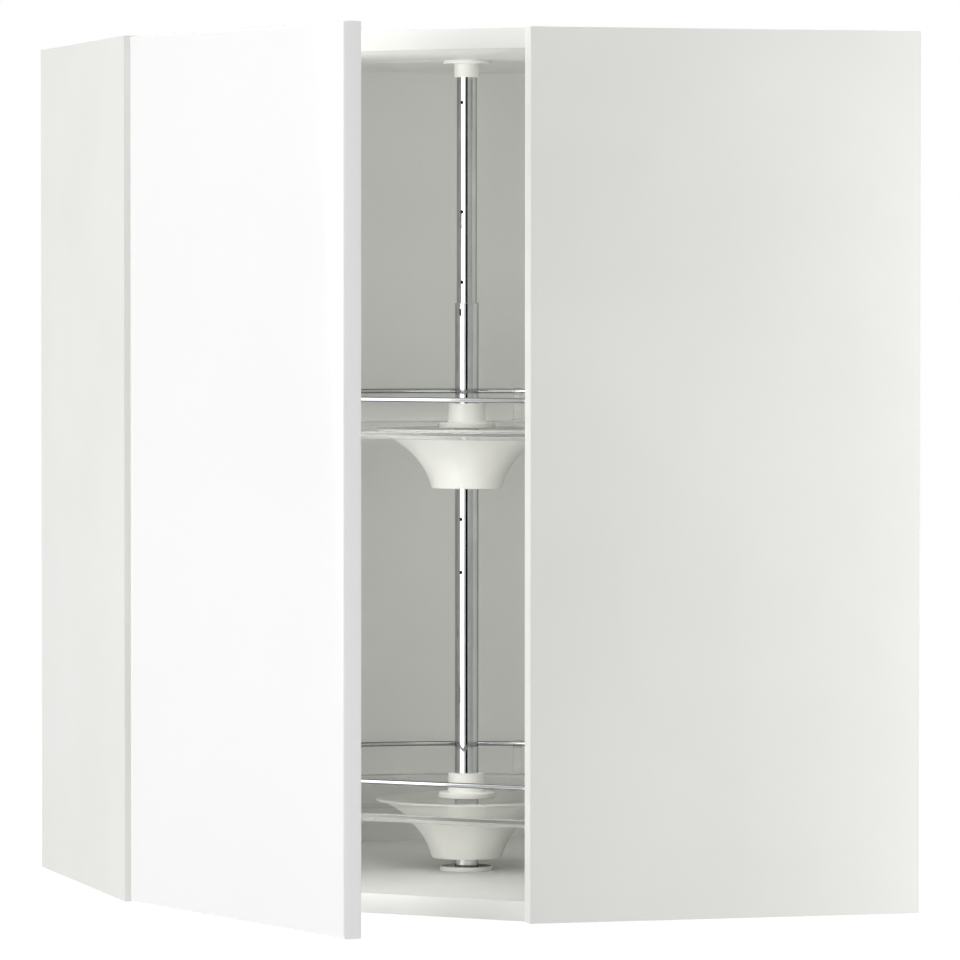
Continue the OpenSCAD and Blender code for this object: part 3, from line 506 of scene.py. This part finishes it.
for node in ("side_panel_left", "side_panel_right", "top_panel", "bottom_panel", "corner_batten"):
    soften(node, 0.0004)
for node in ("ceiling_bearing", "floor_bearing"):
    soften(node, 0.0005, 3)
for node in nodes:
    if node.startswith(("hinge_", "hanging_bracket_")) and not node.endswith("screws"):
        soften(node, 0.0002)

# The back panels are white inside and bare outside
for panel, axis, sign in (("back_panel_left", 0, -1), ("back_panel_right", 1, 1)):
    mesh = nodes[panel].data
    add_finishes(mesh, "hardboard")
    for face in mesh.polygons:
        if face.normal[axis] * sign > 0.5:
            face.material_index = 1


# ---------- Door ----------


def door():
    """The gloss door, its front edges well rounded, with foil on the back and the hinges' cup holes in it."""
    back_edge_r, near = 0.0006, 1e-6
    x0, x1 = DOOR_P, DOOR_P + DOOR_T
    bm = bmesh.new()
    prism(bm, [(x0, -DOOR_HALF), (x1, -DOOR_HALF), (x1, DOOR_HALF), (x0, DOOR_HALF)], *DOOR_Z)
    for x, r, segments in ((x1, DOOR_EDGE_R, 8), (x0, back_edge_r, 3)):
        edges = [e for e in bm.edges if all(abs(v.co.x - x) < near for v in e.verts)]
        bmesh.ops.bevel(bm, geom=edges, offset=r, segments=segments, profile=0.5, affect="EDGES")
    bm.normal_update()
    for f in bm.faces:
        f.material_index = 1 if f.normal.x < -0.9 or f.calc_center_median().x < x0 + back_edge_r + 0.0001 else 0
    bmesh.ops.transform(bm, matrix=ON_DOOR, verts=bm.verts)
    obj = piece("door_front", bm, "gloss_door", "door", "door_panel", finishes=("gloss_door", "foil_board"))
    cup_hole, past = 0.0116, 0.0006
    cups = bmesh.new()
    for z in HINGE_Z:
        middle = Matrix.Translation((DOOR_P + (cup_hole - past) / 2, CUP_EDGE - DOOR_HALF, z))
        rod(cups, cup_hole + past, CUP_R, ON_DOOR @ middle @ Z_TO_X, 64)
    cut(obj, cups)


door()


# ---------- Poles ----------


def pole(name, body, r_out, r_in, z0, z1, replaced, holes, slot=None):
    """A chromed tube with holes through its front wall at the heights given, and a slot across it, low to high."""
    e, wall_skin = 0.0003, 0.00035
    outside = [(r_out - e, z0), (r_out, z0 + e), (r_out, z1 - e), (r_out - e, z1)]
    bm = bmesh.new()
    lathe(bm, [(r_in, z0 + e), (r_in + e, z0)] + outside + [(r_in + e, z1), (r_in, z1 - e)], 192)
    obj = piece(name, bm, "chrome_tube", body, replaced)
    cutters = bmesh.new()
    for z in holes:
        rod(cutters, r_out * 2, SPARE_HOLE_D / 2, FRONT @ Matrix.Translation((r_out, 0, z)) @ Z_TO_X)
    if slot:
        r = SLOT_W / 2
        outline = arc(0, slot[1] - r, r, 0, 180, 16) + arc(0, slot[0] + r, r, 180, 360, 16)
        across = FRONT @ Matrix(((0, 0, 1, 0), (1, 0, 0, 0), (0, 1, 0, 0), (0, 0, 0, 1)))
        prism(cutters, [(-x, z) for x, z in outline], -2 * r_out, 2 * r_out, across)
    cut(obj, cutters)
    refinish(obj.data, "chrome_tube", "bare_bore")
    for face in obj.data.polygons:
        face.material_index = 1 if face.center.xy.length < r_out - wall_skin else 0


(low_foot, low_top), (up_foot, up_top) = ([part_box(n)[i][2] for i in (0, 1)] for n in ("lower_pole", "upper_pole"))
pin_z = low_top - SLOT_DROP - PIN_R - PIN_PLAY
# The holes are spare ones, set out from the poles' top ends and the pin
pole("pole_lower", "carousel", POLE_R, POLE_BORE_R, low_foot, low_top, "lower_pole",
     holes=(low_top - 0.2038, low_top - 0.2539),
     slot=(pin_z - POLE_TRAVEL - PIN_R - PIN_PLAY, low_top - SLOT_DROP))
pole("pole_upper", "pole_extension", UPPER_R, UPPER_BORE_R, up_foot, up_top, "upper_pole",
     holes=(pin_z + 0.0238, pin_z + 0.09, up_top - 0.0293))


def spring(turns=7, steps=24, sides=10):
    """The coil between the lower pole's ledge and the upper pole's foot."""
    (_, _, foot), (reach, _, top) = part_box("pole_spring")
    wire = 0.0007
    coil, rise = reach - wire, top - foot - 2 * wire
    section = arc(0, 0, wire, 0, 360 * (1 - 1 / sides), sides - 1)
    bm = bmesh.new()
    rings = []
    for i in range(turns * steps + 1):
        a, z = 2 * math.pi * i / steps, foot + wire + rise * i / (turns * steps)
        rings.append([bm.verts.new(((coil + u) * math.cos(a), (coil + u) * math.sin(a), z + v)) for u, v in section])
    bridge(bm, rings, False)
    bm.faces.new(rings[0][::-1])
    bm.faces.new(rings[-1])
    obj = piece("spring_coil", bm, "nickel_plated_steel", None, "pole_spring")
    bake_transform(obj)


spring()


# ---------- Trays ----------


def offset_ring(bm, loop, out, z):
    """A ring that stands out from the loop, both in metres."""
    return ring_verts(bm, [(p[0] + out * n[0], p[1] + out * n[1]) for p, n in loop], z)


def tray(level, z):
    """The clear tray: floor, and a lip that stands above and below it, all as one skin round the hub's hole."""
    hole_r, wide_r = 0.01805, 0.1
    floor_mm = FLOOR_T / MM
    # The lip's outline in millimetres, outwards from the tray's edge and up from the floor's underside
    lip = [(-5.0, 2.2), (-3.4, 2.2), (-2.7, 2.3), (-2.25, 2.6), (-2.02, 3.0), (-2.0, 3.4), (-1.85, 3.75),
           (-1.5, 3.96), (-1.0, 4.0), (-0.5, 3.96), (-0.15, 3.75), (0, 3.4), (0, floor_mm + 0.2), (0, -0.2),
           (0, -2.9), (-0.15, -3.3), (-0.5, -3.5), (-1.5, -3.5), (-1.85, -3.3), (-2.0, -2.9), (-2.02, -0.8),
           (-2.25, -0.35), (-2.7, -0.08), (-3.4, 0), (-5.0, 0)]
    loop = tray_loop(*TRAY)
    polar = [math.atan2(p[1], p[0]) for p, _ in loop]
    hole, wide = ([(r * math.cos(a), r * math.sin(a)) for a in polar] for r in (hole_r, wide_r))
    bm = bmesh.new()
    rings = [ring_verts(bm, hole, z + FLOOR_T), ring_verts(bm, wide, z + FLOOR_T)]
    rings += [offset_ring(bm, loop, out * MM, z + up * MM) for out, up in lip]
    rings += [ring_verts(bm, wide, z), ring_verts(bm, hole, z)]
    bridge(bm, rings)
    bm.normal_update()
    for f in bm.faces:
        flat = abs(f.normal.z) > 0.99 and f.calc_area() > 0.00001
        floor_edge = abs(f.normal.z) < 0.01 and abs(f.calc_center_median().z - z - FLOOR_T / 2) < 0.0001
        # Painted light: the floor's outer edge takes the milky lit_edge colour, for the light that the floor carries
        # there.
        f.material_index = 0 if flat else 2 if floor_edge else 1
    bmesh.ops.transform(bm, matrix=FRONT, verts=bm.verts)
    finishes = ("clear_plastic", "clear_edge", "lit_edge")
    piece(level + "_tray_clear", bm, "clear_plastic", "carousel", level + "_tray", finishes=finishes)


def rail(level, z):
    """The chromed wire that runs round above the tray's lip."""
    wire_r, sides = 2.25, 24
    r, p, c = (v - RAIL_INSET for v in TRAY)
    loop = tray_loop(r, p, c, 300, 20, 30)
    section = arc(0, 0, wire_r, 0, 360 - 360 / sides, sides - 1)
    bm = bmesh.new()
    bridge(bm, [offset_ring(bm, loop, out * MM, z + RAIL_RISE + up * MM) for out, up in section])
    bmesh.ops.transform(bm, matrix=FRONT, verts=bm.verts)
    finishes = ("chrome_wire",)
    piece(level + "_rail_wire", bm, "chrome_tube", "carousel", level + "_rail", angle=60, finishes=finishes)


def posts(level, z):
    """Clear posts: a foot on the tray's floor, a blade, and an open clip round the rail."""
    clip_r, clip_bore_r, blade_half, foot_half = 3.9, 2.27, 4.25, 6.0
    post_r = TRAY_R - LIP_T - POST_FOOT_HALF - PASS_CLEAR
    # Outlines in millimetres, outwards from the post's middle and up from the tray's floor
    cx, cz = (TRAY_R - RAIL_INSET - post_r) / MM, RAIL_RISE / MM - FLOOR_T / MM
    blade = [(-1.75, 2.2), (1.75, 2.2)]
    blade += arc(cx, cz, clip_r, -90.5, 52, 14) + arc(cx, cz, clip_bore_r, 52, -222, 28)
    blade += arc(cx, cz, clip_r, 138, 206, 8)
    foot = [(-2.5, 0), (2.5, 0), (2.5, 2.0), (2.2, 2.5), (-2.2, 2.5), (-2.5, 2.0)]
    upright = Matrix(((1, 0, 0, 0), (0, 0, -1, 0), (0, 1, 0, 0), (0, 0, 0, 1)))
    bm = bmesh.new()
    for i in range(POST_COUNT):
        azimuth = math.radians(180 + (i - (POST_COUNT - 1) / 2) * POST_STEP)
        turn = FRONT @ Matrix.Rotation(azimuth, 4, "Z")
        at = turn @ Matrix.Translation((post_r, 0, z + FLOOR_T)) @ upright
        for outline, half in ((blade, blade_half), (foot, foot_half)):
            prism(bm, [(x * MM, y * MM) for x, y in outline], -half * MM, half * MM, at)
    finishes = ("clear_edge",)
    obj = piece(level + "_posts_clear", bm, "clear_plastic", "carousel", level + "_rail_posts", finishes=finishes)
    bevel(obj, 0.0003, 2, 30)


# ---------- Hubs and cones, their outlines in millimetres ----------


def hub(level, z):
    """A flange on the tray and a barrel round the pole."""
    bore, high = 11.12, 23.3
    profile = [(bore, 0.05), (26.0, 0.05)] + arc(25.7, 0.85, 0.8, -60, 0, 4) + arc(25.3, 4.1, 1.2, 0, 90, 6)
    profile += [(19.3, 5.3)] + arc(19.3, 6.6, 1.3, 270, 187, 6)
    profile += [(17.2, high - 1)] + arc(16.2, high - 1, 1.0, 0, 90, 5) + [(bore + 0.5, high), (bore, high - 0.4)]
    bm = bmesh.new()
    lathe(bm, [(r * MM, z + FLOOR_T + h * MM) for r, h in profile], 96)
    piece(level + "_hub_white", bm, "white_plastic", "carousel", level + "_hub")


def curve_point(a, b, c, d, s):
    """The value at s of the cubic curve from a to d."""
    return (1 - s) ** 3 * a + 3 * (1 - s) ** 2 * s * b + 3 * (1 - s) * s * s * c + s**3 * d


def cone(level, z):
    """A trumpet under the tray, its foot closed round the pole."""
    foot_r, rim_r, high, rim_t, round_r = 33.2, 85.4, 54.6, 2.6, 1.2
    core_bore_r, core_r, core_top, foot_t = 11.2, 15.0, 48.0, 2.0
    skin_in, skin_up, steps = 2.0, 1.6, 48
    # The side bends out from foot to rim through two handles, given as shares of its width and height
    wide = rim_r - foot_r
    r_curve = (foot_r, foot_r + 0.063 * wide, foot_r + 0.19 * wide, rim_r)
    h_curve = (0, 0.22 * high, 0.65 * high, high)
    side = [(curve_point(*r_curve, i / steps), curve_point(*h_curve, i / steps)) for i in range(steps + 1)]
    under = [v for v in side[1:] if v[1] < high - rim_t]
    rim = arc(rim_r - round_r, high - rim_t + round_r, round_r, -90, 0)
    rim += [(rim_r, high - 0.3), (rim_r - 0.3, high - 0.05)]
    outer = [(31.6, 0.05), (32.4, 0.1), (32.9, 0.35)] + under + rim
    inner = [(r - skin_in, h + skin_up) for r, h in side[::-1] if h + skin_up < high - 0.05 and r - skin_in > 30]
    core = [(29.5, foot_t), (core_r, foot_t), (core_r, core_top), (core_bore_r, core_top)]
    bm = bmesh.new()
    profile = [(core_bore_r, 0.05)] + outer + inner + core
    lathe(bm, [(r * MM, z - high * MM + h * MM) for r, h in profile], 128)
    piece(level + "_cone_white", bm, "white_plastic", "carousel", level + "_cone", angle=50)


for level, z in LEVELS.items():
    tray(level, z)
    rail(level, z)
    posts(level, z)
    hub(level, z)
    cone(level, z)


# ---------- Camera, light and floor ----------


def add_camera():
    """The photograph's camera, as solved from the cabinet's edges and corners."""
    place = (5.75067, -1.63125, 0.56377)
    yaw, pitch, roll = 2.863092, -0.029638, 0.000457
    data = bpy.data.cameras.new("camera")
    data.sensor_width = 36
    data.lens = 237.597
    data.clip_end = 100
    ahead = Vector((math.cos(yaw) * math.cos(pitch), math.sin(yaw) * math.cos(pitch), math.sin(pitch)))
    side = ahead.cross(Vector((0, 0, 1))).normalized()
    up = side.cross(ahead)
    right = math.cos(roll) * side + math.sin(roll) * up
    up = math.cos(roll) * up - math.sin(roll) * side
    cam = bpy.data.objects.new("camera", data)
    cam.matrix_world = Matrix.Translation(place) @ Matrix((right, up, -ahead)).transposed().to_4x4()
    bpy.context.scene.collection.objects.link(cam)
    bpy.context.scene.camera = cam


def seen(tree):
    """1 on rays from the camera, a mirror or a clear piece, which show the studio white, and 0 on the rest."""
    path = tree.nodes.new("ShaderNodeLightPath")
    total = path.outputs["Is Camera Ray"]
    for ray in ("Is Glossy Ray", "Is Transmission Ray"):
        either = tree.nodes.new("ShaderNodeMath")
        either.operation = "MAXIMUM"
        tree.links.new(total, either.inputs[0])
        tree.links.new(path.outputs[ray], either.inputs[1])
        total = either.outputs["Value"]
    return total


def add_world(strength):
    """White where it is seen, and a light of this strength from all round."""
    world = bpy.data.worlds.new("studio")
    bpy.context.scene.world = world
    world.use_nodes = True
    tree = world.node_tree
    back = tree.nodes["Background"]
    back.inputs["Color"].default_value = (1, 1, 1, 1)
    level = tree.nodes.new("ShaderNodeMapRange")
    level.inputs["To Min"].default_value = strength
    level.inputs["To Max"].default_value = 1.0
    tree.links.new(seen(tree), level.inputs["Value"])
    tree.links.new(level.outputs["Result"], back.inputs["Strength"])


def sheet(name, cells, size):
    """A flat grid, not yet in the scene."""
    bm = bmesh.new()
    bmesh.ops.create_grid(bm, x_segments=cells, y_segments=cells, size=size)
    me = bpy.data.meshes.new(name)
    bm.to_mesh(me)
    bm.free()
    return bpy.data.objects.new(name, me)


def add_floor(z):
    """A pale floor well below the hanging cabinet. The camera sees it white, apart from shadows."""
    white_lift = 0.8
    floor = sheet("floor", 2, 40)
    floor.location.z = z
    bpy.context.scene.collection.objects.link(floor)
    s = Shader("pale_floor", Roughness=0.9, Specular_IOR_Level=0.0)
    s.colour(s.noise(2, 3), srgb(244, 244, 243), srgb(247, 247, 246))
    lift = s.add("ShaderNodeMath", operation="MULTIPLY")
    lift.inputs[1].default_value = white_lift
    s.link(seen(s.tree), lift.inputs[0])
    s.bsdf.inputs["Emission Color"].default_value = (1, 1, 1, 1)
    s.link(lift.outputs["Value"], s.bsdf.inputs["Emission Strength"])
    floor.data.materials.append(s.mat)


def add_lamp(name, place, aim, size, radiance, glossy=True):
    """A soft box that shows the object its radiance times its share of the view."""
    data = bpy.data.lights.new(name, "AREA")
    data.shape = "RECTANGLE"
    data.size, data.size_y = size
    data.energy = radiance * math.pi * size[0] * size[1]
    lamp = bpy.data.objects.new(name, data)
    lamp.location = place
    lamp.rotation_euler = (Vector(aim) - Vector(place)).to_track_quat("-Z", "Y").to_euler()
    lamp.visible_camera = False
    lamp.visible_glossy = glossy
    bpy.context.scene.collection.objects.link(lamp)
    return lamp


def around(azimuth, distance, z):
    a = math.radians(azimuth)
    return distance * math.cos(a), distance * math.sin(a), z


def add_door_lamp(name, along, width, radiance, glossy=True):
    """A strip on the back of the door, this far along it, which swings with it."""
    behind, height = 0.012, 0.76
    place, aim = (ON_DOOR @ Vector((p, along, MIDDLE.z)) for p in (DOOR_P - behind, 0))
    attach(add_lamp(name, place, aim, (width, height), radiance, glossy), "door")


def add_flag(name, place, size):
    """A dark card turned to the cabinet that only mirrors see, for the dark lines on the poles and wires."""
    flag = sheet(name, 1, 0.5)
    s = Shader(name + "_cloth", Roughness=1.0, Specular_IOR_Level=0.0)
    s.colour(s.noise(40, 3), srgb(12, 12, 13), srgb(20, 20, 21))
    flag.data.materials.append(s.mat)
    turn = (MIDDLE - Vector(place)).to_track_quat("Z", "Y").to_matrix().to_4x4()
    flag.matrix_world = Matrix.Translation(place) @ turn @ Matrix.Diagonal((*size, 1, 1))
    for kind in ("camera", "diffuse", "transmission", "volume_scatter", "shadow"):
        setattr(flag, "visible_" + kind, False)
    bpy.context.scene.collection.objects.link(flag)


add_camera()
add_world(0.27)
add_floor(-1.45)
# The front and the left side
add_lamp("front_box", around(-60, 3, 0.9), MIDDLE, (2, 2), 2.42, False)
add_lamp("left_box", around(-100, 2.5, 0.8), MIDDLE, (2, 2), 1.2)
# Through the gap beside the door, from near the camera's side
add_lamp("near_box", around(-18.5, 3.3, 2.2), MIDDLE, (0.65, 1.5), 3.7, False)
add_lamp("low_box", around(-19.5, 4, 0.1), MIDDLE, (0.65, 1.1), 6.0, False)
# The right side, brighter towards its far edge
add_lamp("right_strip", (0.65, 0.75, 0.4), (0.339, 0.33, 0.4), (0.3, 1.4), 2.9, False)
# Above and behind
add_lamp("top_box", (0, 0, 3.2), MIDDLE, (2, 2), 3.0, False)
add_lamp("rear_box", around(135, 3, 1.2), MIDDLE, (2, 2), 3.0, False)
# The inside. door_fill is also the white line on the poles and wires, gap_flag the dark one beside it, and
# jamb_fill stands for the light that the right side panel throws back.
add_door_lamp("door_fill", -0.075, 0.21, 2.4)
add_door_lamp("door_wash", -0.14, 0.08, 1.0, False)
add_lamp("jamb_fill", (0.3, 0.04, 0.39), (0, 0.04, 0.39), (0.14, 0.7), 0.78, False)
add_flag("gap_flag", around(-16.6, 1.5, 0.4), (0.53, 2.4))

bpy.context.scene.view_settings.view_transform = "Standard"
